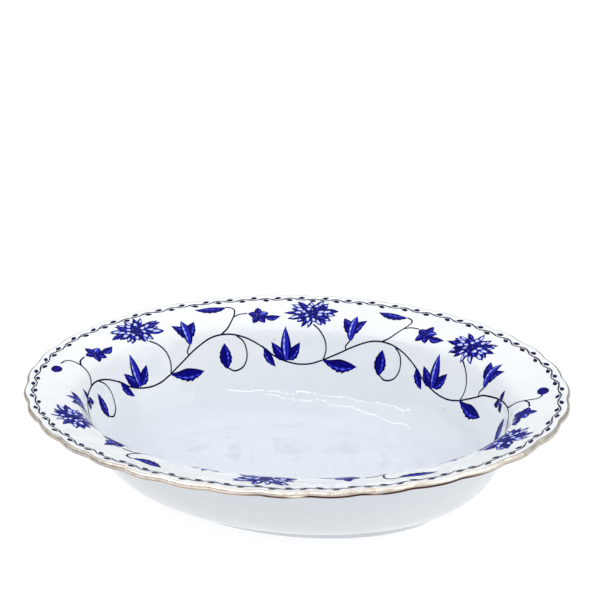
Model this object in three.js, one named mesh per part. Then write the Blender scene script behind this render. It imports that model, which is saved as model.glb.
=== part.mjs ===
// Oval porcelain serving bowl with a scalloped, flared rim, a foot ring, a gilt edge and
// printed decoration. Millimetres, +Z up, long axis along X. The origin is on the surface
// that the bowl stands on, under its middle.
import * as THREE from "three";

// Driving dimensions
const LENGTH = 254;             // over the gilt edge, along X
const WIDTH = 192;              // over the gilt edge, along Y
const HEIGHT = 57;              // from the table to the top of the gilt edge
const WALL = 3.5;               // thickness of the porcelain, floor included
const EDGE = 2.4;               // thickness at the rim, from where it grows to the wall's
const EDGE_STATIONS = 4;        // stations over which it grows
const FOOT_HEIGHT = 5;          // depth of the hollow inside the foot ring

// Scalloped rim: lobes evenly spaced along the edge, which fade out as flutes down the flange
const SCALLOPS = 34;
const SCALLOP_DEPTH = 1.0;      // crest to cusp, in plan
const FLUTE_LENGTH = 21;        // inset at which the flutes have faded out
const SEGMENTS = 4 * SCALLOPS;  // a crest, a cusp and two flanks for each scallop

// Rounded lip, with the gilding wrapped over it
const GILT = 0.25;              // thickness of the gilt skin
const GAP = 0.05;               // clearance under each applied skin
const LIP_RADIUS = EDGE / 2;
const LIP_CENTRE = LIP_RADIUS + GAP + GILT;   // inset, and depth under the rim's top
const LIP_TILT = 14;            // slope of the flange where it leaves the lip, degrees
const LIP_ANGLES = [-LIP_TILT, 0, 45, 90, 132, 180 - LIP_TILT];

// Printed decoration: chain border round the flange, and the vine under it in two lengths
const PRINT = 0.2;              // thickness of a printed skin
const CHAIN_SPAN = [0.18, 0.77];   // places along the inside section, counted in stations
const VINE_SPAN = [0.85, 7];
const VINE_JOINS = [10, 69];    // segments at which the two lengths of the vine meet

// Inside section from the lip to the flat floor: inset from the edge, depth under the rim's top
const INSIDE = [
  [7.5, 1.6], [14, 3.4], [21, 5.8], [25, 9.6], [28, 17], [31.3, 26.5], [36, 35.8], [43, 43.2],
  [58, HEIGHT - FOOT_HEIGHT - WALL],
];

// Foot ring section, from its inner top corner: inset from the edge, height above the table
const FOOT = [
  [58.6, FOOT_HEIGHT], [53, FOOT_HEIGHT], [53.9, 0.8], [54.7, 0], [56.7, 0], [57.5, 0.8],
];

const rim = new THREE.EllipseCurve(0, 0, LENGTH / 2, WIDTH / 2);
rim.arcLengthDivisions = 2000;

// Angle of a segment's start; segments are evenly spaced along the rim
function segmentAngle(segment) {
  return 2 * Math.PI * rim.getUtoTmapping(segment / SEGMENTS);
}

// How far a scallop's cusp pulls in the rim at a segment, fading down the flange
function scallopDent(segment, inset) {
  const lobe = Math.abs(Math.cos((Math.PI * SCALLOPS * segment) / SEGMENTS));
  const fade = 1 - THREE.MathUtils.smoothstep(inset, 0, FLUTE_LENGTH);
  return SCALLOP_DEPTH * (1 - lobe) * fade;
}

// A station [inset, z] carried to one segment of the oval
function onOval([inset, z], segment) {
  const angle = segmentAngle(segment % SEGMENTS);
  const pull = inset + scallopDent(segment, inset);
  return [(LENGTH / 2 - pull) * Math.cos(angle), (WIDTH / 2 - pull) * Math.sin(angle), z];
}

// A point of the lip's round section at a radius: 0 degrees is its top, 90 the outermost line
function onLip(radius, degrees) {
  const angle = THREE.MathUtils.degToRad(degrees);
  return [
    LIP_CENTRE - radius * Math.sin(angle),
    HEIGHT - LIP_CENTRE + radius * Math.cos(angle),
  ];
}

const inside = [
  onLip(LIP_RADIUS, -LIP_TILT),
  ...INSIDE.map(([inset, drop]) => [inset, HEIGHT - drop]),
];

// Unit normal of one straight stretch of the inside section, pointing into the hollow
function stretchNormal(index) {
  const [from, to] = [inside[index], inside[index + 1]];
  return new THREE.Vector2(from[1] - to[1], to[0] - from[0]).normalize();
}

// The station at a place along the inside section, moved off the surface into the hollow
// by a distance, or into the porcelain where that is negative
function offInside(place, distance) {
  const whole = Math.floor(place);
  const part = place - whole;
  const last = inside.length - 1;
  const from = inside[whole];
  const to = inside[Math.min(whole + 1, last)];
  const normal = stretchNormal(Math.min(whole, last - 1));
  let reach = distance;
  if (part === 0 && whole > 0 && whole < last) {
    const before = stretchNormal(whole - 1);
    const turn = before.dot(normal);
    normal.add(before).normalize();
    reach = distance / Math.sqrt((1 + turn) / 2);
  }
  return [
    THREE.MathUtils.lerp(from[0], to[0], part) + reach * normal.x,
    THREE.MathUtils.lerp(from[1], to[1], part) + reach * normal.y,
  ];
}

// Thickness of the porcelain under a station of the inside section
function thicknessAt(index) {
  return THREE.MathUtils.lerp(EDGE, WALL, Math.min(index / EDGE_STATIONS, 1));
}

function geometryOf(positions, triangles) {
  const geometry = new THREE.BufferGeometry();
  geometry.setAttribute("position", new THREE.Float32BufferAttribute(positions.flat(), 3));
  geometry.setIndex(triangles.flat());
  geometry.computeVertexNormals();
  return geometry;
}

// Two triangles between stations a and b, from column i to column j of the vertex grid.
// The diagonal leaves station a at column i, or station b where it is flipped.
function quad(a, b, i, j, columns, flipped = false) {
  const [ai, bi, bj, aj] = [a * columns + i, b * columns + i, b * columns + j, a * columns + j];
  return flipped ? [[ai, bi, aj], [bi, bj, aj]] : [[ai, bi, bj], [ai, bj, aj]];
}

// Triangles of a closed section between columns i and j. A skin's section runs out along its
// face and back underneath, where flipped diagonals keep it parallel to the surface below.
function sectionQuads(section, i, j, columns) {
  return section.flatMap((_, s) => {
    const underneath = s >= section.length / 2;
    return quad(s, (s + 1) % section.length, i, j, columns, underneath);
  });
}

// Solid of revolution round the oval, from the axis out along the stations and back to the axis
function bowlSolid(stations, insideZ, undersideZ) {
  const positions = [];
  const triangles = [];
  for (const station of stations) {
    for (let i = 0; i < SEGMENTS; i += 1) positions.push(onOval(station, i));
  }
  const last = stations.length - 1;
  const insideCentre = positions.push([0, 0, insideZ]) - 1;
  const undersideCentre = positions.push([0, 0, undersideZ]) - 1;
  for (let i = 0; i < SEGMENTS; i += 1) {
    const j = (i + 1) % SEGMENTS;
    triangles.push([insideCentre, i, j]);
    for (let s = 0; s < last; s += 1) triangles.push(...quad(s, s + 1, i, j, SEGMENTS));
    triangles.push([last * SEGMENTS + i, undersideCentre, last * SEGMENTS + j]);
  }
  return geometryOf(positions, triangles);
}

// Closed section carried right round the oval
function ringSolid(section) {
  const positions = [];
  const triangles = [];
  for (const station of section) {
    for (let i = 0; i < SEGMENTS; i += 1) positions.push(onOval(station, i));
  }
  for (let i = 0; i < SEGMENTS; i += 1) {
    triangles.push(...sectionQuads(section, i, (i + 1) % SEGMENTS, SEGMENTS));
  }
  return geometryOf(positions, triangles);
}

// A skin's section carried along part of the oval, with both ends closed
function lengthSolid(section, first, last) {
  const columns = last - first + 1;
  const positions = [];
  const triangles = [];
  for (const station of section) {
    for (let i = first; i <= last; i += 1) positions.push(onOval(station, i));
  }
  for (let i = 0; i < columns - 1; i += 1) {
    triangles.push(...sectionQuads(section, i, i + 1, columns));
  }
  for (let s = 0; s < section.length / 2 - 1; s += 1) {
    const corners = [s, s + 1, section.length - 2 - s, section.length - 1 - s];
    const [a, b, c, d] = corners.map((station) => station * columns);
    const end = columns - 1;
    triangles.push([a, c, b], [a, d, c]);
    triangles.push([a + end, b + end, c + end], [a + end, c + end, d + end]);
  }
  return geometryOf(positions, triangles);
}

// Section of a thin skin lying on the inside surface between two places along it
function skinSection([start, end], thickness) {
  const places = [start];
  for (let whole = Math.floor(start) + 1; whole < end; whole += 1) places.push(whole);
  places.push(end);
  const face = places.map((place) => offInside(place, GAP + thickness)).reverse();
  const back = places.map((place) => offInside(place, GAP));
  return [...face, ...back];
}

function porcelainBody() {
  const seatInset = FOOT[1][0];
  const inner = inside.slice(1).reverse();
  const lip = LIP_ANGLES.map((degrees) => onLip(LIP_RADIUS, degrees));
  const outer = inside.map((_, index) => offInside(index, -thicknessAt(index))).slice(1);
  const aboveFoot = outer.filter(([inset]) => inset < seatInset);
  const stations = [...inner, ...lip, ...aboveFoot, [seatInset, FOOT_HEIGHT]];
  return bowlSolid(stations, FOOT_HEIGHT + WALL, FOOT_HEIGHT);
}

function giltEdge() {
  const face = LIP_ANGLES.map((degrees) => onLip(LIP_CENTRE, degrees));
  const back = LIP_ANGLES.map((degrees) => onLip(LIP_RADIUS + GAP, degrees)).reverse();
  return ringSolid([...face, ...back]);
}

function vineLength(first, last) {
  return lengthSolid(skinSection(VINE_SPAN, PRINT), first, last);
}

const glaze = { color: 0xeef1f4, roughness: 0.08, metalness: 0 };
const pieces = [
  ["porcelain_body", porcelainBody(), glaze],
  ["foot_ring", ringSolid(FOOT), { color: 0xe2e6e8, roughness: 0.35, metalness: 0 }],
  ["gilt_edge", giltEdge(), { color: 0xb9a488, roughness: 0.25, metalness: 0.9 }],
  [
    "chain_border_transfer",
    ringSolid(skinSection(CHAIN_SPAN, PRINT)),
    { color: 0x3a3f6e, roughness: 0.15, metalness: 0 },
  ],
  [
    "vine_transfer_back",
    vineLength(VINE_JOINS[0], VINE_JOINS[1]),
    { color: 0x1a1f9a, roughness: 0.12, metalness: 0 },
  ],
  [
    "vine_transfer_front",
    vineLength(VINE_JOINS[1], VINE_JOINS[0] + SEGMENTS),
    { color: 0x2a32b4, roughness: 0.12, metalness: 0 },
  ],
];

const bowl = new THREE.Group();
bowl.name = "serving_bowl";
for (const [name, geometry, finish] of pieces) {
  const mesh = new THREE.Mesh(geometry, new THREE.MeshStandardMaterial(finish));
  mesh.name = name;
  bowl.add(mesh);
}

export default bowl;
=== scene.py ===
"""Looks of the oval porcelain serving bowl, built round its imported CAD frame.

Shapes are worked out in millimetres and become metres when a mesh is made. A place on the
inside of the bowl is (turn, run): turn is the share of the rim's length from the +X end,
anticlockwise from above, and run is the way down the surface from the gilding's inner line.
"""

import math
import random

import bpy
import numpy as np
from mathutils import Matrix, Vector


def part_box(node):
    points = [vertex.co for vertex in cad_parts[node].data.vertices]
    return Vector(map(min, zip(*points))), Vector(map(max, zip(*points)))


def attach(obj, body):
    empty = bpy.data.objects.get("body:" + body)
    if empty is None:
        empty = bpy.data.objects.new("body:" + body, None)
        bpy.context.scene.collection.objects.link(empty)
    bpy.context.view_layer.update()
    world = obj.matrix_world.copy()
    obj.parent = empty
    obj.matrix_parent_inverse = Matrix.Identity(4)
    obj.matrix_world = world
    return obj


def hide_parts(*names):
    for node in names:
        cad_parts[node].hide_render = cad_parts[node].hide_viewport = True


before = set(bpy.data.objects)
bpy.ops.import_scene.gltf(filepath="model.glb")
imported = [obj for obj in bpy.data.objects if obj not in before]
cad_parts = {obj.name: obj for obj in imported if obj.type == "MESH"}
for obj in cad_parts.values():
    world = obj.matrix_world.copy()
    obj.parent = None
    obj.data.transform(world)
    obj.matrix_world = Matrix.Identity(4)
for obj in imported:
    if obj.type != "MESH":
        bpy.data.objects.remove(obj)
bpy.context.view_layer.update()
random.seed(7)

MM = 0.001

# ---------------------------------------------------------------- camera

LENS = 78.9                     # mm
SENSOR = 36                     # width, mm
CAMERA_AT = Vector((0.1967, -0.4992, 0.3279))
CAMERA_BACK = Vector((0.3249, -0.8584, 0.3971))   # direction, from the bowl to the camera
CAMERA_ROLL = math.radians(-3.54)


def make_camera():
    level = Vector((0, 0, 1)).cross(CAMERA_BACK).normalized()
    upright = CAMERA_BACK.cross(level).normalized()
    across = level * math.cos(CAMERA_ROLL) + upright * math.sin(CAMERA_ROLL)
    up = upright * math.cos(CAMERA_ROLL) - level * math.sin(CAMERA_ROLL)
    data = bpy.data.cameras.new("camera")
    data.lens = LENS
    data.sensor_width = SENSOR
    camera = bpy.data.objects.new("camera", data)
    bpy.context.scene.collection.objects.link(camera)
    turn = Matrix((across, up, CAMERA_BACK.normalized())).transposed().to_4x4()
    camera.matrix_world = Matrix.Translation(CAMERA_AT) @ turn
    bpy.context.scene.camera = camera


# ---------------------------------------------------------------- the bowl's form

rim_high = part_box("gilt_edge")[1]
HALF_LENGTH = rim_high.x / MM
HALF_WIDTH = 96                 # of the oval that the scallops' crests touch
HEIGHT = rim_high.z / MM
SCALLOPS = 34
SCALLOP_DEPTH = 1.0             # crest to cusp, in plan
CUSP_ROUND = 0.03               # how much the glaze softens a cusp
FLUTE_LENGTH = 21               # inset at which the flutes have faded out

GILT_RADIUS = 1.5               # of the rounded lip, over the gilding
LIP_RADIUS = 1.46
LIP_TILT = 14                   # slope of the flange at the lip, degrees
WALL = 3.5
WALL_FROM = 26                  # run at which the wall has its full thickness

# Inside section: inset from the crests' oval, and depth under the top of the rim
INSIDE = [
    (7.5, 1.6), (14, 3.4), (20, 5.3), (24, 8), (27, 14), (29, 20), (31.3, 26.5), (34.4, 33),
    (38, 38.5), (42.8, 43), (49, 46.6), (60, 48.5),
]
RUN_START = -0.6                # run at the inner end of the lip's round

# Foot ring section from where its outer face leaves the body: inset, height above the table
FOOT = [
    (51.4, 6.6), (52.6, 5.5), (53.3, 4.2), (53.7, 2.8), (53.9, 1.4), (54.1, 0.6), (54.5, 0.15),
    (55, 0), (56.4, 0), (56.9, 0.15), (57.3, 0.6), (57.6, 1.5), (57.9, 3.2), (58.6, 4.6),
    (59.8, 5.4), (58, 6.6),
]


def fair_curve(points, start_slope, end_slope, samples=900):
    """Cubic spline through the points, as an array of samples, with the slopes (dy/dx) given
    for its ends."""
    points = np.array(points, float)
    chord = np.linalg.norm(np.diff(points, axis=0), axis=1)
    knots = np.concatenate([[0], np.cumsum(chord)])
    count = len(points)
    matrix = np.zeros((count, count))
    right = np.zeros((count, 2))
    for k in range(1, count - 1):
        matrix[k, k - 1:k + 2] = [1 / chord[k - 1], 2 / chord[k - 1] + 2 / chord[k], 1 / chord[k]]
        before = (points[k] - points[k - 1]) / chord[k - 1] ** 2
        after = (points[k + 1] - points[k]) / chord[k] ** 2
        right[k] = 3 * (before + after)
    for end, slope in ((0, start_slope), (count - 1, end_slope)):
        matrix[end, end] = 1
        right[end] = np.array([1, slope]) / math.hypot(1, slope)
    tangents = np.linalg.solve(matrix, right)
    t = np.linspace(0, knots[-1], samples)
    k = np.clip(np.searchsorted(knots, t, side="right") - 1, 0, count - 2)
    h = chord[k][:, None]
    s = ((t - knots[k]) / chord[k])[:, None]
    return (
        points[k] * (1 + 2 * s) * (1 - s) ** 2 + tangents[k] * h * s * (1 - s) ** 2
        + points[k + 1] * s ** 2 * (3 - 2 * s) + tangents[k + 1] * h * s ** 2 * (s - 1)
    )


def on_lip(radius, degrees):
    """Inset and depth of a point of the lip's round: 0 degrees is its top, 90 its outermost."""
    angle = math.radians(degrees)
    return GILT_RADIUS - radius * math.sin(angle), GILT_RADIUS - radius * math.cos(angle)


tilt = math.tan(math.radians(LIP_TILT))
section = fair_curve([on_lip(LIP_RADIUS, -LIP_TILT), *INSIDE], tilt, 0)
section_run = RUN_START + np.concatenate(
    [[0], np.cumsum(np.linalg.norm(np.diff(section, axis=0), axis=1))]
)
section_slope = np.arctan2(
    np.gradient(section[:, 1], section_run), np.gradient(section[:, 0], section_run)
)
RUN_END = section_run[-1]

table_angle = np.linspace(0, 2 * math.pi, 7201)
table_arc = np.concatenate([[0], np.cumsum(np.hypot(
    np.diff(HALF_LENGTH * np.cos(table_angle)), np.diff(HALF_WIDTH * np.sin(table_angle))
))])
RIM_LENGTH = table_arc[-1]


def scallop_dent(turn, inset):
    """How far a cusp pulls the rim in, fading down the flange."""
    lobe = np.sqrt(np.cos(math.pi * SCALLOPS * turn) ** 2 + CUSP_ROUND) - CUSP_ROUND ** 0.5
    lobe /= math.sqrt(1 + CUSP_ROUND) - CUSP_ROUND ** 0.5
    s = np.clip(inset / FLUTE_LENGTH, 0, 1)
    return SCALLOP_DEPTH * (1 - lobe) * (1 - s * s * (3 - 2 * s))


def on_oval(turn, inset, z, shrink=1.0):
    """Points at an inset from the rim and a height, in mm."""
    turn = np.asarray(turn, float)
    angle = np.interp(np.mod(turn, 1), table_arc / RIM_LENGTH, table_angle)
    pull = inset + scallop_dent(turn, inset)
    x = (HALF_LENGTH - pull) * np.cos(angle) * shrink
    y = (HALF_WIDTH - pull) * np.sin(angle) * shrink
    return np.stack([x, y, np.broadcast_to(z, np.shape(x))], -1)


def between(values, start, rise, end, fall):
    """1 from start to end and 0 outside, coming in over rise and going out over fall."""
    return np.clip((values - start) / rise, 0, 1) * np.clip((end - values) / fall, 0, 1)


def on_inside(turn, run, lift=0.0):
    """Points of the inside surface, moved off it into the hollow by a lift, in mm."""
    inset = np.interp(run, section_run, section[:, 0])
    depth = np.interp(run, section_run, section[:, 1])
    slope = np.interp(run, section_run, section_slope)
    return on_oval(turn, inset + lift * np.sin(slope), HEIGHT - depth + lift * np.cos(slope))


# ---------------------------------------------------------------- meshes

def make_piece(name, points, faces, material, slot, *nodes, values=None):
    """A smooth mesh that rides on the bowl and stands for the CAD nodes named."""
    mesh = bpy.data.meshes.new(name)
    mesh.from_pydata((np.asarray(points) * MM).tolist(), [], faces)
    for key, numbers in (values or {}).items():
        attribute = mesh.attributes.new(key, "FLOAT", "POINT")
        attribute.data.foreach_set("value", np.asarray(numbers, np.float32))
    mesh.polygons.foreach_set("use_smooth", [True] * len(mesh.polygons))
    mesh.materials.append(material)
    piece = bpy.data.objects.new(name, mesh)
    bpy.context.scene.collection.objects.link(piece)
    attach(piece, "root")
    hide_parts(*nodes)


def ring_faces(rows, columns, closed):
    """Quads of rows of points round the oval; the last row joins the first where closed."""
    faces = []
    for r in range(rows if closed else rows - 1):
        a, b = r * columns, (r + 1) % rows * columns
        faces += [
            (a + i, b + i, b + (i + 1) % columns, a + (i + 1) % columns)
            for i in range(columns)
        ]
    return faces


BODY_COLUMNS = 16 * SCALLOPS
LIP_STEP = 12                   # degrees between stations round the lip
OUTSIDE_SHADE_BLEND = 3                 # stations over which the outside's painted shade comes in
columns_turn = np.arange(BODY_COLUMNS) / BODY_COLUMNS

# Runs of the body's stations, down the flange and then down the wall and over the floor
station_runs = np.concatenate([np.linspace(RUN_START, 18, 15), np.linspace(19, RUN_END, 50)])
# Sizes of the rings that carry the last station in towards the middle
floor_shrinks = np.linspace(1, 0.05, 12)


def inside_station(run):
    """Inset and height of a place on the inside."""
    inset = np.interp(run, section_run, section[:, 0])
    return inset, HEIGHT - np.interp(run, section_run, section[:, 1])


def outside_station(run):
    """Inset and height of the outside under a place on the inside."""
    share = np.clip(run / WALL_FROM, 0, 1)
    thickness = 2 * LIP_RADIUS + (WALL - 2 * LIP_RADIUS) * share * share * (3 - 2 * share)
    inset, z = inside_station(run)
    slope = np.interp(run, section_run, section_slope)
    return inset - thickness * math.sin(slope), z - thickness * math.cos(slope)


def body_piece(material):
    """One shell: out over the floor and up the inside, round the lip, and back underneath."""
    inside = [inside_station(run) for run in station_runs]
    lip = [on_lip(LIP_RADIUS, degrees) for degrees in range(0, 180 - LIP_TILT, LIP_STEP)]
    lip = [(inset, HEIGHT - depth) for inset, depth in lip]
    outside = [outside_station(run) for run in station_runs]
    stations = [(*inside[-1], shrink) for shrink in floor_shrinks[:0:-1]]
    stations += [(*station, 1) for station in inside[::-1] + lip + outside]
    stations += [(*outside[-1], shrink) for shrink in floor_shrinks[1:]]
    points = np.concatenate([on_oval(columns_turn, *station) for station in stations])
    centres = [[0, 0, inside[-1][1]], [0, 0, outside[-1][1]]]
    faces = ring_faces(len(stations), BODY_COLUMNS, closed=False)
    first, last = len(points), len(points) - BODY_COLUMNS
    for i in range(BODY_COLUMNS):
        j = (i + 1) % BODY_COLUMNS
        faces += [(first, i, j), (first + 1, last + j, last + i)]
    points = np.concatenate([points, centres])
    # Painted shade: 0 inside and 1 on the outside, where the glaze is given a greyer colour
    first_outside = len(floor_shrinks) - 1 + len(inside) + len(lip)
    outer = np.clip((np.arange(len(stations)) - first_outside + 1) / OUTSIDE_SHADE_BLEND, 0, 1)
    outer = np.concatenate([np.repeat(outer, BODY_COLUMNS), [0, 1]])
    make_piece(
        "glazed_body", points, faces, material, "glazed_porcelain", "porcelain_body",
        values={"outer": outer},
    )


def foot_piece(material):
    """The foot ring, which runs a little way up into the body."""
    points = np.concatenate([on_oval(columns_turn, *station) for station in FOOT[::-1]])
    faces = [face[::-1] for face in ring_faces(len(FOOT), BODY_COLUMNS, closed=True)]
    make_piece("glazed_foot", points, faces, material, "foot_porcelain", "foot_ring")


GILT_COLUMNS = 24 * SCALLOPS
GILT_ROWS = 13
GILT_SPAN = (8, 136)            # degrees round the lip that the gold covers
# How its edges wander: waves round the rim, size in degrees, and shift in waves
GILT_WAVES = [(7, 3, 0.1), (19, 2.5, 0.6), (43, 2, 0.3), (71, 1.5, 0.8)]
OUTER_WANDER = 1.6              # how much more its outer edge wanders
# Stretches of the rim with painted reflections in the gold: pale round the front, and dark brown
# along the outer edge there
PALE_REFLECTION_STRETCH = (0.67, 0.05, 0.94, 0.04)      # turns, as between() takes them
DARK_REFLECTION_STRETCH = (0.765, 0.02, 0.92, 0.02)
DARK_REFLECTION_FROM, DARK_REFLECTION_RISE = 0.52, 0.12          # share of the way across the gold


def gilt_piece(material):
    """Film of gold over the lip, laid on by hand so that its two edges wander."""
    turn = np.arange(GILT_COLUMNS) / GILT_COLUMNS
    wander = sum(
        size * np.sin(2 * math.pi * (waves * turn + shift)) for waves, size, shift in GILT_WAVES
    )
    inner, outer = GILT_SPAN[0] + wander, GILT_SPAN[1] - OUTER_WANDER * wander
    points, across, front, dark = [], [], [], []
    # Painted reflections: paler gold round the front, and dark brown over the outer part of the
    # band there
    pale_reflection = between(turn, *PALE_REFLECTION_STRETCH)
    dark_reflection = between(turn, *DARK_REFLECTION_STRETCH) * np.clip(1.3 + wander / 6, 0, 1)
    for share in np.linspace(0, 1, GILT_ROWS):
        angle = np.radians(inner + (outer - inner) * share)
        inset = GILT_RADIUS - GILT_RADIUS * np.sin(angle)
        z = HEIGHT - GILT_RADIUS + GILT_RADIUS * np.cos(angle)
        points.append(on_oval(turn, inset, z))
        across += [share] * GILT_COLUMNS
        front += list(pale_reflection)
        dark += list(dark_reflection * np.clip((share - DARK_REFLECTION_FROM) / DARK_REFLECTION_RISE, 0, 1))
    faces = ring_faces(GILT_ROWS, GILT_COLUMNS, closed=False)
    make_piece(
        "gilt_band", np.concatenate(points), faces, material, "gilding", "gilt_edge",
        values={"across": across, "front": front, "dark": dark},
    )


# ---------------------------------------------------------------- printed strokes

PRINT_LIFT = 0.05               # of the lowest print off the glaze
LEVEL_STEP = 0.02               # between strokes that lie over each other
STROKE_STEP = 0.55              # about the length of a stroke's mesh cells
LEAST_HALF = 0.02               # least half width of a stroke
FINE_HALF = 0.6                 # half width up to which a stroke needs only three points across
ACROSS = np.array([-1, -0.78, -0.4, 0, 0.4, 0.78, 1])
FINE_ACROSS = np.array([-1, 0, 1])

# Tones of a stroke, 0 the darkest ink and 1 the palest. along goes from 0 to 1 down the
# stroke, and across from -1 on its right edge to 1 on its left.


def line_tone(along, across):
    """Dark throughout."""
    return np.full(np.broadcast_shapes(along.shape, across.shape), 0.06)


def petal_tone(along, across):
    """White on one side and blue on the other, with a dark outline, root and tip."""
    side = np.clip((across + 0.3) / 0.3, 0, 1)
    white = side * between(along, 0.2, 0.2, 0.92, 0.2)
    edge = np.clip((np.abs(across) - 0.7) / 0.2, 0, 1)
    return (0.16 + 0.86 * white) * (1 - edge) + 0.1 * edge


def leaf_tone(along, across):
    """Dark outline and midrib, blue flesh, and lighter strokes along one side."""
    edge = np.clip((np.abs(across) - 0.5) / 0.35, 0, 1)
    light = np.exp(-((across - 0.42) / 0.26) ** 2) * np.sin(math.pi * along) ** 0.6
    flesh = 0.3 + 0.5 * light * (0.75 + 0.25 * np.sin(34 * along))
    rib = np.exp(-(across / 0.14) ** 2)
    return (flesh - 0.16 * rib) * (1 - edge) + 0.1 * edge


def light_tone(along, across):
    """As a leaf, but mostly in the lighter blue."""
    return np.where(np.abs(across) > 0.7, 0.1, leaf_tone(along, -across) + 0.26)


def dark_tone(along, across):
    """Dark, and darkest at the edges."""
    edge = np.clip((np.abs(across) - 0.3) / 0.5, 0, 1)
    return 0.3 - 0.2 * edge + 0.06 * np.sin(9 * along)


def smooth_through(points, samples):
    """Samples, evenly spaced, of a smooth curve through the points (Catmull-Rom)."""
    points = np.array(points, float)
    if len(points) == 2:
        return points[0] + (points[1] - points[0]) * np.linspace(0, 1, samples)[:, None]
    ends = [2 * points[0] - points[1]], [2 * points[-1] - points[-2]]
    p = np.concatenate([ends[0], points, ends[1]])
    t = np.linspace(0, 1, 25)[:-1, None]
    pieces = [
        0.5 * (2 * p[k] + (p[k + 1] - p[k - 1]) * t
               + (2 * p[k - 1] - 5 * p[k] + 4 * p[k + 1] - p[k + 2]) * t ** 2
               + (3 * p[k] - p[k - 1] - 3 * p[k + 1] + p[k + 2]) * t ** 3)
        for k in range(1, len(p) - 2)
    ]
    dense = np.concatenate(pieces + [points[-1:]])
    arc = np.concatenate([[0], np.cumsum(np.linalg.norm(np.diff(dense, axis=0), axis=1))])
    at = np.linspace(0, arc[-1], samples)
    return np.stack([np.interp(at, arc, dense[:, k]) for k in range(dense.shape[1])], -1)


class Print:
    """Strokes of one printed piece, gathered into one mesh."""

    def __init__(self):
        self.points, self.faces, self.tones = [], [], []
        self.count = 0

    def stroke(self, place, line, widths, tone=line_tone, level=0, teeth=(0, 0, 0)):
        """One brush stroke. line is its middle and widths its half widths at even steps, both
        in the motif's own mm; place carries a motif's points onto the bowl. teeth is how many,
        how deep, and on which side: 1 left, -1 right, 0 both."""
        length = np.linalg.norm(np.diff(np.array(line, float), axis=0), axis=1).sum()
        # The curve is a little longer than the straight lines between its points
        samples = max(5, int(1.15 * length / STROKE_STEP))
        middle = smooth_through(line, samples)
        along = np.linspace(0, 1, samples)
        half = smooth_through([(k, w) for k, w in enumerate(widths)], samples * 2)
        half = np.interp(along * (len(widths) - 1), half[:, 0], half[:, 1]).clip(LEAST_HALF)
        to_end = np.minimum(along, 1 - along) * length
        half *= np.sqrt(1 - (1 - np.clip(to_end / half, 0.04, 1)) ** 2)
        heading = np.gradient(middle, axis=0)
        heading /= np.linalg.norm(heading, axis=1)[:, None].clip(1e-9)
        left = np.stack([-heading[:, 1], heading[:, 0]], -1)
        across = ACROSS if max(widths) > FINE_HALF else FINE_ACROSS
        number, depth, side = teeth
        notch = 1 - depth * np.mod(along * number, 1) if number else np.ones(samples)
        reach = np.where(
            (across[None] * side >= 0) & (across[None] != 0), notch[:, None], 1.0
        ) * across[None] * half[:, None]
        flat = middle[:, None] + left[:, None] * reach[..., None]
        self.points.append(place(flat.reshape(-1, 2), PRINT_LIFT + LEVEL_STEP * level))
        self.tones.append(tone(along[:, None], across[None]).reshape(-1))
        wide = len(across)
        for i in range(samples - 1):
            for j in range(wide - 1):
                a = self.count + i * wide + j
                self.faces.append((a, a + 1, a + wide + 1, a + wide))
        self.count += samples * wide

    def make(self, name, material, slot, *nodes):
        tones = np.clip(np.concatenate(self.tones), 0, 1)
        make_piece(
            name, np.concatenate(self.points), self.faces, material, slot, *nodes,
            values={"tone": tones},
        )


def placed(turn, run, angle=0):
    """Carries a motif's own points to a place: its y points up to the rim and x along it.
    The print is cut to lie in the flare, so that it narrows with the oval below the rim."""
    c, s = math.cos(math.radians(angle)), math.sin(math.radians(angle))

    def carry(points, lift):
        x = points[:, 0] * c - points[:, 1] * s
        y = points[:, 0] * s + points[:, 1] * c
        return on_inside(turn + x / RIM_LENGTH, run - y, lift)

    return carry


# ---------------------------------------------------------------- chain border

CHAIN_PERIODS = 54
CHAIN_PHASE = 0.565             # turn at which an outer leaf sits
CHAIN_RUN = 2.2                 # middle of the wavy line
CHAIN_SWING = 0.75
CHAIN_LEAF_OFF = 0.95           # of the leaves' middles from the middle of the line
CHAIN_LEAF_TILT = 9             # degrees
CHAIN_POINTS = 13               # along one period of the line


def chain_border(material):
    """Wavy line round the flange, with small leaves on alternate sides and their stalks."""
    border = Print()
    pitch = 1 / CHAIN_PERIODS

    def along_rim(points, lift):
        return on_inside(points[:, 0] / RIM_LENGTH, points[:, 1], lift)

    for k in range(CHAIN_PERIODS):
        start = CHAIN_PHASE + k * pitch
        wave = [
            ((start + pitch * t) * RIM_LENGTH,
             CHAIN_RUN + CHAIN_SWING * math.cos(2 * math.pi * t))
            for t in np.linspace(0, 1, CHAIN_POINTS)
        ]
        border.stroke(along_rim, wave, [0.3, 0.34, 0.3])
        for half, side in ((0, 1), (0.5, -1)):
            off, angle = side * CHAIN_LEAF_OFF, -side * CHAIN_LEAF_TILT
            leaf = placed(start + pitch * half, CHAIN_RUN - off, angle)
            border.stroke(leaf, [(-1.8, 0), (0, 0.06), (1.8, 0)], [0.4, 1.05, 0.4], dark_tone, 1)
            border.stroke(leaf, [(1.6, 0), (2.5, -0.3 * side), (3.5, -0.95 * side)], [0.22] * 3)
    border.make("chain_border", material, "border_print", "chain_border_transfer")


# ---------------------------------------------------------------- vine motifs

# Half width and half height of a bloom, and its rings of petals: how many, where they start
# and end as shares of those, their half width in mm, and how much their length varies
BLOOM_SIZE = (15.2, 9.6)
BLOOM_RINGS = [
    (19, 0.38, 1.03, 1.6, 0.12), (12, 0.25, 0.77, 2.1, 0.09), (7, 0.1, 0.5, 2.2, 0.05),
]


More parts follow.
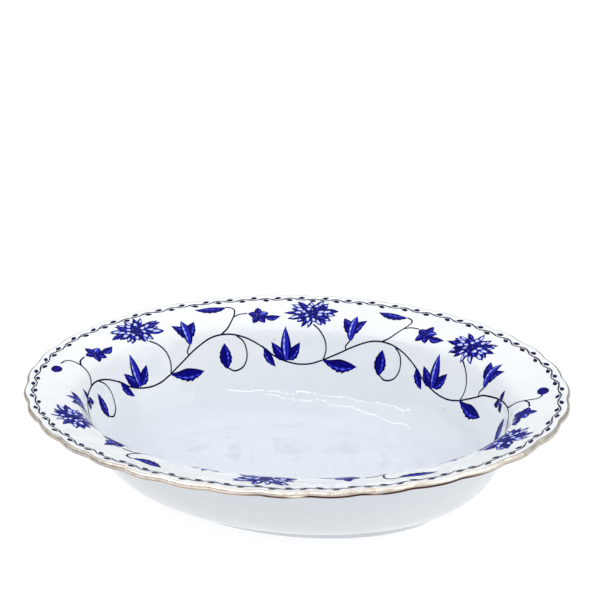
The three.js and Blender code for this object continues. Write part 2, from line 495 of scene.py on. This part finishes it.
def bloom(ink, place):
    """Many-petalled flower head, wider than tall."""
    wide, tall = BLOOM_SIZE
    for ring, (petals, start, end, half, vary) in enumerate(BLOOM_RINGS):
        for k in range(petals):
            angle = 2 * math.pi * (k + 0.5 * (ring % 2)) / petals + random.uniform(-0.1, 0.1)
            reach = end * (1 + random.uniform(-vary, vary))
            bend = random.uniform(-0.2, 0.2)
            line = [
                (wide * r * math.cos(angle + bend * r), tall * r * math.sin(angle + bend * r))
                for r in (start, (start + reach) / 2, reach)
            ]
            width = half * random.uniform(0.8, 1.15)
            tone = leaf_tone if k % 3 == ring else petal_tone
            ink.stroke(place, line, [0.6, width, 0.85 * width, 0.05], tone, 2 * ring + k % 2)
    for k in range(5):
        angle = 2 * math.pi * (k + 0.25) / 5
        line = [(1.3 * r * math.cos(angle + 0.3 * r), r * math.sin(angle + 0.3 * r))
                for r in (0.2, 1.4, 2.6)]
        ink.stroke(place, line, [0.6, 1.3, 0.3], dark_tone, 7)


def leaf_fan(ink, place):
    """Three plain pointed leaves that stand side by side on the stem."""
    for side in (-1, 1):
        ink.stroke(place, [(0.6 * side, -4), (5.4 * side, -0.4), (9.6 * side, 5)],
                   [0.8, 3.2, 2.4, 0.05], leaf_tone, 0, (5, 0.2, -side))
    ink.stroke(place, [(0, -4.8), (0, 4), (0, 13)], [0.9, 3.4, 2.6, 0.05], light_tone, 1)


def hanging_leaf(ink, place):
    """Plain leaf that droops under the stem."""
    ink.stroke(place, [(0, 0.4), (-2.4, -4.6), (-7, -9.6)],
               [0.5, 2.7, 2.1, 0.05], leaf_tone, 0, (4, 0.2, 1))


def side_flower(ink, place):
    """Small flower of five equal petals, with one plain leaf."""
    ink.stroke(place, [(-3, -1), (-8, -2), (-13.6, -0.8)], [0.6, 2.1, 0.05], leaf_tone, 0)
    for k in range(5):
        angle = 2 * math.pi * (k + 0.25) / 5
        line = [(r * math.cos(angle), r * math.sin(angle)) for r in (0.8, 3.6, 6.4)]
        tone = light_tone if k == 2 else leaf_tone
        ink.stroke(place, line, [0.7, 2.2, 1.8, 0.2], tone, 1 + k)
    ink.stroke(place, [(-1.1, 0), (0, 0), (1.1, 0)], [1.0, 1.3, 1.0], dark_tone, 6)


def crest_leaf(ink, place):
    """Long leaf that lies under the border."""
    ink.stroke(place, [(0, 0), (4.8, -1), (10.8, -0.6), (17.4, 1.2)],
               [0.7, 2.4, 2.2, 0.05], leaf_tone, 0, (6, 0.28, -1))


def bud(ink, place):
    """Closed, upright bud."""
    ink.stroke(place, [(0.6, -0.6), (0.4, 6), (0, 12.6)],
               [1.4, 4.4, 3.6, 0.2], leaf_tone, 0, (5, 0.15, 0))


def bell(ink, place):
    """Bell flower of three straight petals on a short tube."""
    for side in (-1, 1):
        ink.stroke(place, [(0, 3), (3.4 * side, 8), (7.2 * side, 12.6)],
                   [1.2, 2.9, 2.3, 0.05], leaf_tone, 0, (4, 0.18, -side))
    ink.stroke(place, [(0, 0), (0, 7), (0, 15)], [1.3, 3.0, 2.6, 0.05], light_tone, 1)


def trailing_leaf(ink, place):
    """Long saw-edged leaf that trails back from the junction."""
    ink.stroke(place, [(0, 0), (-6, -1.6), (-14, -2.4), (-24, -1.6)],
               [0.4, 2.2, 3.6, 2.6, 0.05], leaf_tone, 0, (7, 0.26, 1))


def sprig(ink, place):
    """Three small plain leaves over the join between two lengths of the print."""
    for k in range(3):
        angle = 2 * math.pi * (k + 0.75) / 3
        line = [(r * math.cos(angle), r * math.sin(angle)) for r in (0.2, 3.4, 6.6)]
        ink.stroke(place, line, [0.7, 2.1, 1.6, 0.05], dark_tone, k)


def round_bud(ink, place):
    """Small round bud, without leaves."""
    ink.stroke(place, [(-3.6, -0.2), (0, 0.2), (3.6, 0.1)], [2.2, 2.7, 1.8], dark_tone, 0)


# ---------------------------------------------------------------- vine layout

# Junctions, where each bloom's stem meets the main stem: turn, run, and how much lower the
# print lies there on the flange than the layout has it
JUNCTIONS = [
    (0.112, 43.0, 3.8), (0.2628, 39.3, 1.0), (0.4133, 41.6, 1.0), (0.581, 46, 4.4),
    (0.764, 42, 2.8), (0.9425, 45, 3.4),
]
HALVES = {"back": (0, 1, 2), "front": (3, 4, 5)}    # lengths of the print and their units
# Units that hold a join, and so a sprig and a round bud: the bud's place along the unit, and
# how far the flange motifs run ahead of those on the wall
JOINED = {2: (66, 8.5), 5: (61, 2)}
UNIT = 105.2                    # length of a unit along the rim that the layout is drawn for
STEM = 0.43                     # half width of a stem
JUNCTION_RUN = 40.1             # of the layout
FLANGE_RUN = 10                 # down to which the print hangs by the flange's drops

# Stems of one unit: mm along the rim from the junction, and run
STEMS = {
    "main": [(0, 40.1), (9.3, 42.4), (19.7, 42.2), (31.3, 38.8), (43, 31.4), (52, 27.2),
             (62, 25), (73, 25.8), (84.8, 30.4), (94, 35), (105.2, 40.1)],
    "bloom": [(7.4, 20.6), (2.6, 24.2), (-0.8, 28.6), (-2, 33.2), (-1.4, 37.2), (0, 40.1)],
    "crest": [(66.6, 25.1), (61, 21.4), (56.4, 14.8), (54.8, 9.6), (56, 7), (59.6, 6)],
    "side": [(56.4, 14.8), (52.6, 12.8), (47.6, 12.4)],
    "loop": [(57, 25.7), (52.2, 30), (51, 36.8), (54, 42.4), (60.4, 44.4), (65.8, 42)],
    "bell": [(87.4, 27.4), (90.2, 30.8), (89.6, 32.8)],
    "hanging": [(42, 32.2), (40.4, 32.8), (39, 33.4)],
}

# Motifs of one unit: what, mm along the rim, and run
MOTIFS = [
    (bloom, 9.2, 12), (leaf_fan, 24.8, 35.9), (hanging_leaf, 39.2, 33.8),
    (side_flower, 41.3, 14.6), (bell, 87.4, 27.6), (bud, 65, 42.2),
]
CREST_LEAF = (59.6, 6.6)
SPRIG = (74.6, 27.6)
ROUND_BUD_RUN = 6
JOIN = (68, 86)                 # stretch of a joined unit that takes up what is left over


def vine_unit(inks, number):
    """Stems and motifs from one junction to the next."""
    start, start_run, start_drop = JUNCTIONS[number]
    end, end_run, end_drop = JUNCTIONS[(number + 1) % len(JUNCTIONS)]
    length = ((end - start) % 1) * RIM_LENGTH

    def stretched(along, run):
        """Place along the rim. A joined unit keeps its size but for the stretch at its join."""
        if number not in JOINED:
            return along * length / UNIT
        spare = np.clip((along - JOIN[0]) / (JOIN[1] - JOIN[0]), 0, 1)
        ahead = JOINED[number][1] * np.clip(along / 60, 0, 1) * np.clip(1 - run / 34, 0, 1)
        return along + (length - UNIT) * spare + ahead * (1 - spare)

    def sag(along, run):
        """Run where the unit hangs between its own two junctions."""
        share = along / UNIT
        flange = start_drop + (end_drop - start_drop) * share
        hang = start_run + (end_run - start_run) * share - JUNCTION_RUN
        depth = np.clip((run - FLANGE_RUN) / (JUNCTION_RUN - FLANGE_RUN), 0, 1.1)
        return run + flange + (hang - flange) * depth

    def along_unit(points, lift):
        along, run = points[:, 0], points[:, 1]
        return on_inside(start + stretched(along, run) / RIM_LENGTH, sag(along, run), lift)

    def motif(draw, along, run):
        place = placed(start + stretched(along, run) / RIM_LENGTH, sag(along, run))
        draw(inks[draw.__name__], place)

    for line in STEMS.values():
        inks["stems"].stroke(along_unit, line, [STEM] * 3)
    for entry in MOTIFS:
        motif(*entry)
    if number in JOINED:
        motif(sprig, *SPRIG)
        motif(round_bud, JOINED[number][0], ROUND_BUD_RUN)
    else:
        motif(crest_leaf, *CREST_LEAF)
    motif(trailing_leaf, UNIT, JUNCTION_RUN)


def vine(material):
    """The two lengths of the vine, with one piece for each kind of motif and for the stems."""
    kinds = [
        bloom, leaf_fan, hanging_leaf, side_flower, crest_leaf, bud, bell, trailing_leaf,
        sprig, round_bud,
    ]
    for half, units in HALVES.items():
        inks = {kind.__name__: Print() for kind in kinds}
        inks["stems"] = Print()
        for number in units:
            vine_unit(inks, number)
        for name, ink in inks.items():
            if ink.points:
                ink.make(f"vine_{half}_{name}", material, "vine_print", f"vine_transfer_{half}")


# ---------------------------------------------------------------- materials

def srgb(red, green, blue):
    """Linear colour from 0-255 display values."""
    def linear(value):
        value /= 255
        return value / 12.92 if value <= 0.04045 else ((value + 0.055) / 1.055) ** 2.4
    return linear(red), linear(green), linear(blue), 1.0


class Shader:
    """A Principled material and short ways to add nodes to it."""

    def __init__(self, name, **sockets):
        self.material = bpy.data.materials.new(name)
        self.material.use_nodes = True
        self.tree = self.material.node_tree
        self.surface = self.tree.nodes["Principled BSDF"]
        for key, value in sockets.items():
            socket = "IOR" if key == "ior" else key.title()
            self.surface.inputs[socket].default_value = value

    def node(self, kind, **settings):
        node = self.tree.nodes.new(kind)
        for key, value in settings.items():
            setattr(node, key, value)
        return node

    def link(self, source, target):
        self.tree.links.new(source, target)

    def noise(self, scale, detail=2.0, roughness=0.5):
        place = self.node("ShaderNodeTexCoord")
        noise = self.node("ShaderNodeTexNoise")
        noise.inputs["Scale"].default_value = scale
        noise.inputs["Detail"].default_value = detail
        noise.inputs["Roughness"].default_value = roughness
        self.link(place.outputs["Object"], noise.inputs["Vector"])
        return noise.outputs["Fac"]

    def height(self):
        """Height above the table, in metres."""
        parts = self.node("ShaderNodeSeparateXYZ")
        self.link(self.node("ShaderNodeTexCoord").outputs["Object"], parts.inputs[0])
        return parts.outputs["Z"]

    def ramp(self, source, stops):
        ramp = self.node("ShaderNodeValToRGB")
        elements = ramp.color_ramp.elements
        while len(elements) < len(stops):
            elements.new(0.5)
        for element, (position, colour) in zip(elements, stops):
            element.position = position
            element.color = colour
        self.link(source, ramp.inputs["Fac"])
        return ramp.outputs["Color"]

    def math(self, operation, *values):
        node = self.node("ShaderNodeMath", operation=operation)
        for socket, value in zip(node.inputs, values):
            if isinstance(value, (int, float)):
                socket.default_value = value
            else:
                self.link(value, socket)
        return node.outputs["Value"]

    def mix(self, share, a, b):
        node = self.node("ShaderNodeMix", data_type="RGBA")
        for socket, value in ((node.inputs[0], share), (node.inputs[6], a), (node.inputs[7], b)):
            if isinstance(value, (int, float, tuple)):
                socket.default_value = value
            else:
                self.link(value, socket)
        return node.outputs[2]

    def attribute(self, name):
        return self.node("ShaderNodeAttribute", attribute_name=name).outputs["Fac"]

    def bump(self, height, distance, before=None):
        node = self.node("ShaderNodeBump")
        node.inputs["Distance"].default_value = distance
        self.link(height, node.inputs["Height"])
        if before:
            self.link(before, node.inputs["Normal"])
        return node.outputs["Normal"]

    def set(self, socket, source):
        self.link(source, self.surface.inputs[socket])


WHITE = (1, 1, 1, 1)
BLACK = (0, 0, 0, 1)
LOW_SHADE_HEIGHT = 0.05              # metres that the painted shade low down is counted over


def glaze_relief(shader):
    """Slow ripple and fine pitting of a fired glaze."""
    ripple = shader.bump(shader.noise(90, 1.2), 0.0007)
    shader.set("Normal", shader.bump(shader.noise(900, 2), 0.000004, ripple))


def porcelain(name, light, deep, low_shade, outer):
    """White glaze, with painted shade: darker and bluer low down, and greyer on the outside."""
    shader = Shader(name, roughness=0.03, ior=1.52)
    tint = shader.ramp(shader.noise(16, 3), [(0.3, light), (0.75, deep)])
    # Painted shade: the glaze is darker and bluer towards the bottom
    share = shader.math("MULTIPLY", shader.height(), 1 / LOW_SHADE_HEIGHT)
    low = shader.ramp(share, [(0.22, WHITE), (0.72, BLACK)])
    tint = shader.mix(low, tint, low_shade)
    # Painted shade: the outside of the bowl is given a greyer colour
    tint = shader.mix(shader.attribute("outer"), tint, outer)
    specks = shader.ramp(shader.noise(420, 0), [(0.86, BLACK), (0.9, (0.5, 0.5, 0.5, 1))])
    shader.set("Base Color", shader.mix(specks, tint, srgb(170, 160, 150)))
    glaze_relief(shader)
    return shader.material


def foot_glaze():
    """Porcelain glaze down to the bare ground band that the foot stands on."""
    shader = Shader("foot_glaze", ior=1.5)
    edge = shader.math("MULTIPLY_ADD", shader.noise(300, 2), 0.0003, -0.0001)
    bare = shader.math("LESS_THAN", shader.height(), edge)
    # Painted shade: the glaze here is given the greyer colour of the body's outside
    tint = shader.ramp(shader.noise(30, 3), [
        (0.3, srgb(222, 226, 231)), (0.75, srgb(216, 220, 226)),
    ])
    grain = shader.ramp(shader.noise(1500, 3), [
        (0.3, srgb(216, 214, 208)), (0.7, srgb(228, 226, 221)),
    ])
    shader.set("Base Color", shader.mix(bare, tint, grain))
    shader.set("Roughness", shader.math("MULTIPLY_ADD", bare, 0.6, 0.1))
    shader.set("Normal", shader.bump(shader.noise(900, 2), 0.00001))
    return shader.material


def printed(name, stops):
    """Ceramic colour under the glaze: each stroke's tone picks the blue, with fine mottling."""
    shader = Shader(name, roughness=0.12, ior=1.5)
    shader.surface.inputs["Specular IOR Level"].default_value = 0.06
    mottle = shader.math("MULTIPLY_ADD", shader.noise(1000, 3, 0.6), 0.32, -0.19)
    tone = shader.math("ADD", shader.attribute("tone"), mottle)
    shader.set("Base Color", shader.ramp(tone, stops))
    glaze_relief(shader)
    return shader.material


def gilding():
    """Rubbed gold with darker lines along its edges, and painted reflections: paler round the
    front, and dark brown along the outer edge there.
    """
    shader = Shader("gilding", metallic=0.8, ior=1.5)
    wear = shader.noise(260, 4, 0.65)
    gold = shader.ramp(wear, [
        (0.3, srgb(172, 164, 152)), (0.55, srgb(205, 198, 187)), (0.75, srgb(230, 225, 216)),
    ])
    # Painted reflection: paler gold round the front
    pale_reflection_tint = shader.ramp(wear, [
        (0.3, srgb(226, 206, 190)), (0.5, srgb(246, 238, 228)), (0.75, srgb(255, 252, 248)),
    ])
    front = shader.attribute("front")
    across = shader.attribute("across")
    wobble = shader.math("MULTIPLY_ADD", shader.noise(120, 2), 0.1, -0.05)
    place = shader.math("ADD", across, wobble)
    line = shader.ramp(place, [
        (0.0, WHITE), (0.1, BLACK), (0.6, BLACK), (0.74, (0.7, 0.7, 0.7, 1)),
    ])
    # Round the front, where the painted reflection lies, the edge lines are browner
    brown = shader.mix(front, srgb(146, 139, 128), srgb(150, 104, 80))
    tint = shader.mix(line, shader.mix(front, gold, pale_reflection_tint), brown)
    # Painted reflection: dark brown along the outer edge at the front
    shader.set("Base Color", shader.mix(shader.attribute("dark"), tint, srgb(62, 24, 16)))
    shader.set("Roughness", shader.math("MULTIPLY_ADD", wear, 0.25, 0.12))
    shader.set("Normal", shader.bump(wear, 0.00003))
    return shader.material


# Inks, by tone
INK_STOPS = [
    (0.0, srgb(14, 10, 44)), (0.14, srgb(8, 4, 96)), (0.32, srgb(14, 8, 146)),
    (0.5, srgb(36, 38, 186)), (0.68, srgb(88, 104, 222)), (0.84, srgb(168, 182, 242)),
    (1.0, srgb(236, 240, 252)),
]
BORDER_STOPS = [(0.0, srgb(14, 14, 50)), (0.3, srgb(24, 24, 78)), (1.0, srgb(60, 66, 140))]


# ---------------------------------------------------------------- stage and light

FLOOR_HALF = 3.0                # metres
FLOOR_GLOW = 0.82
WORLD_STRENGTH = 0.8

# Lamps: name, place and size in metres, and power in watts
LAMPS = [
    ("key", (0.1, 0.35, 1.1), (1.2, 0.8), 1.7),
    ("fill_left", (-0.7, -0.1, 0.8), (0.9, 0.9), 1.5),
    ("fill_right", (0.9, -0.2, 0.6), (0.9, 0.9), 2.6),
    ("strip_low", (-0.2, -0.62, 0.8), (1.3, 0.018), 1.0),
    ("strip_high", (-0.3, -0.3, 0.95), (0.9, 0.012), 0.4),
]


def add_stage():
    """Plain floor that glows almost white by itself, so that it stays even."""
    signs = [(-1, -1), (1, -1), (1, 1), (-1, 1)]
    corners = [(x * FLOOR_HALF, y * FLOOR_HALF, 0) for x, y in signs]
    mesh = bpy.data.meshes.new("studio_floor")
    mesh.from_pydata(corners, [], [(0, 1, 2, 3)])
    shader = Shader("studio_floor", roughness=0.9)
    shader.surface.inputs["Base Color"].default_value = (0.25, 0.25, 0.25, 1)
    shader.surface.inputs["Specular IOR Level"].default_value = 0
    shader.surface.inputs["Emission Color"].default_value = WHITE
    shader.surface.inputs["Emission Strength"].default_value = FLOOR_GLOW
    mesh.materials.append(shader.material)
    floor = bpy.data.objects.new("studio_floor", mesh)
    bpy.context.scene.collection.objects.link(floor)


def soft_box(name, place, size, power):
    """Rectangular lamp turned towards the bowl."""
    data = bpy.data.lights.new(name, "AREA")
    data.shape = "RECTANGLE"
    data.size, data.size_y = size
    data.energy = power
    light = bpy.data.objects.new(name, data)
    light.location = place
    light.rotation_euler = (-Vector(place)).to_track_quat("-Z", "Y").to_euler()
    bpy.context.scene.collection.objects.link(light)


def add_light():
    """The lamps, and a world that is grey low down and white above."""
    for lamp in LAMPS:
        soft_box(*lamp)
    world = bpy.data.worlds.new("studio")
    bpy.context.scene.world = world
    world.use_nodes = True
    tree = world.node_tree
    place = tree.nodes.new("ShaderNodeTexCoord")
    height = tree.nodes.new("ShaderNodeSeparateXYZ")
    sky = tree.nodes.new("ShaderNodeValToRGB")
    tree.links.new(place.outputs["Generated"], height.inputs[0])
    tree.links.new(height.outputs["Z"], sky.inputs["Fac"])
    tree.links.new(sky.outputs["Color"], tree.nodes["Background"].inputs["Color"])
    for element, (position, colour) in zip(
        sky.color_ramp.elements, ((0.0, (0.4, 0.42, 0.45, 1)), (0.75, WHITE))
    ):
        element.position = position
        element.color = colour
    tree.nodes["Background"].inputs["Strength"].default_value = WORLD_STRENGTH
    bpy.context.scene.view_settings.view_transform = "Standard"


# ---------------------------------------------------------------- the scene

make_camera()
add_stage()
add_light()
# The last two colours are painted shade: darker and bluer low down, and greyer on the outside
body_piece(porcelain(
    "glazed_porcelain", srgb(245, 248, 250), srgb(240, 245, 249), low_shade=srgb(223, 228, 236),
    outer=srgb(221, 226, 231),
))
foot_piece(foot_glaze())
gilt_piece(gilding())
chain_border(printed("border_ink", BORDER_STOPS))
vine(printed("vine_ink", INK_STOPS))
